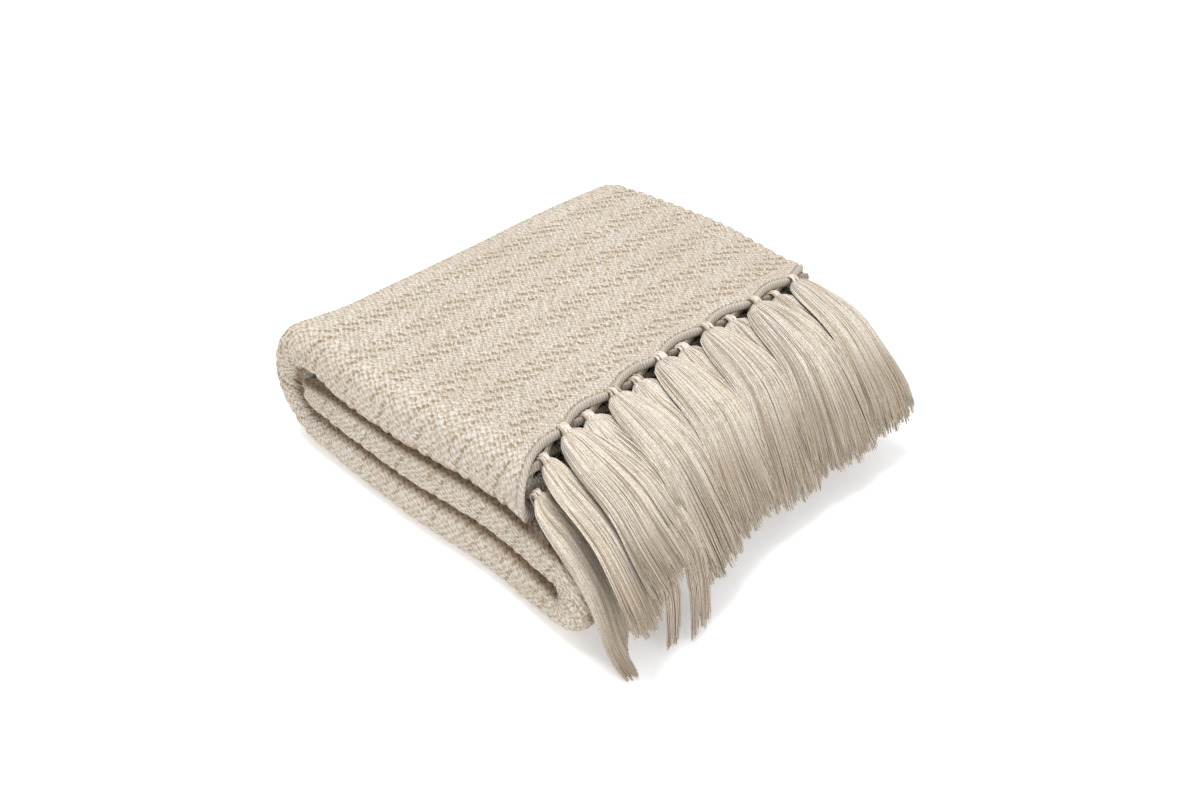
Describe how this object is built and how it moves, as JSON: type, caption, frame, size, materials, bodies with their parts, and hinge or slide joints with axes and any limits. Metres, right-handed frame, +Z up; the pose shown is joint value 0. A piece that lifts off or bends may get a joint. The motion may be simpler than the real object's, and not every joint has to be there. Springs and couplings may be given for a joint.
{
  "type": "knit throw blanket",
  "caption": "Knitted throw blanket folded into a thick stack, in a herringbone knit with a scalloped edge and long yarn tassels.",
  "frame": {"origin": "on the surface the folded throw rests on, under the middle of the rectangle it covers", "axes": "+X from the folded end towards the tasselled end, +Y across the stack from the smooth front fold to the back, +Z up"},
  "size_m": [0.3816, 0.3328, 0.1126],
  "materials": {
    "knit": "matte knit",
    "tassel_yarn": "soft yarn with a faint sheen"
  },
  "bodies": {
    "root": {"knitted_panel": "knit", "tassel_front_corner": "tassel_yarn", "tassel_edge1_knot1": "tassel_yarn", "tassel_edge1_knot2": "tassel_yarn", "tassel_edge1_knot3": "tassel_yarn", "tassel_edge1_knot4": "tassel_yarn", "tassel_edge1_knot5": "tassel_yarn", "tassel_edge1_knot6": "tassel_yarn", "tassel_edge2_knot1": "tassel_yarn", "tassel_edge2_knot2": "tassel_yarn", "tassel_edge2_knot3": "tassel_yarn", "tassel_edge2_knot4": "tassel_yarn", "tassel_edge2_knot5": "tassel_yarn", "tassel_edge2_knot6": "tassel_yarn", "tassel_edge3_knot1": "tassel_yarn", "tassel_edge3_knot2": "tassel_yarn", "tassel_edge3_knot3": "tassel_yarn", "tassel_edge3_knot4": "tassel_yarn", "tassel_edge3_knot5": "tassel_yarn", "tassel_edge3_knot6": "tassel_yarn", "tassel_edge4_knot1": "tassel_yarn", "tassel_edge4_knot2": "tassel_yarn", "tassel_edge4_knot3": "tassel_yarn", "tassel_edge4_knot4": "tassel_yarn", "tassel_edge4_knot5": "tassel_yarn", "tassel_edge4_knot6": "tassel_yarn", "tassel_edge5_knot1": "tassel_yarn", "tassel_edge5_knot2": "tassel_yarn", "tassel_edge5_knot3": "tassel_yarn", "tassel_edge5_knot4": "tassel_yarn", "tassel_edge5_knot5": "tassel_yarn", "tassel_edge5_knot6": "tassel_yarn", "tassel_edge6_knot1": "tassel_yarn", "tassel_edge6_knot2": "tassel_yarn", "tassel_edge6_knot3": "tassel_yarn", "tassel_edge6_knot4": "tassel_yarn", "tassel_edge6_knot5": "tassel_yarn", "tassel_edge6_knot6": "tassel_yarn", "tassel_edge7_knot1": "tassel_yarn", "tassel_edge7_knot2": "tassel_yarn", "tassel_edge7_knot3": "tassel_yarn", "tassel_edge7_knot4": "tassel_yarn", "tassel_edge7_knot5": "tassel_yarn", "tassel_edge7_knot6": "tassel_yarn", "tassel_edge8_knot1": "tassel_yarn", "tassel_edge8_knot2": "tassel_yarn", "tassel_edge8_knot3": "tassel_yarn", "tassel_edge8_knot4": "tassel_yarn", "tassel_edge8_knot5": "tassel_yarn", "tassel_edge8_knot6": "tassel_yarn"}
  },
  "joints": []
}
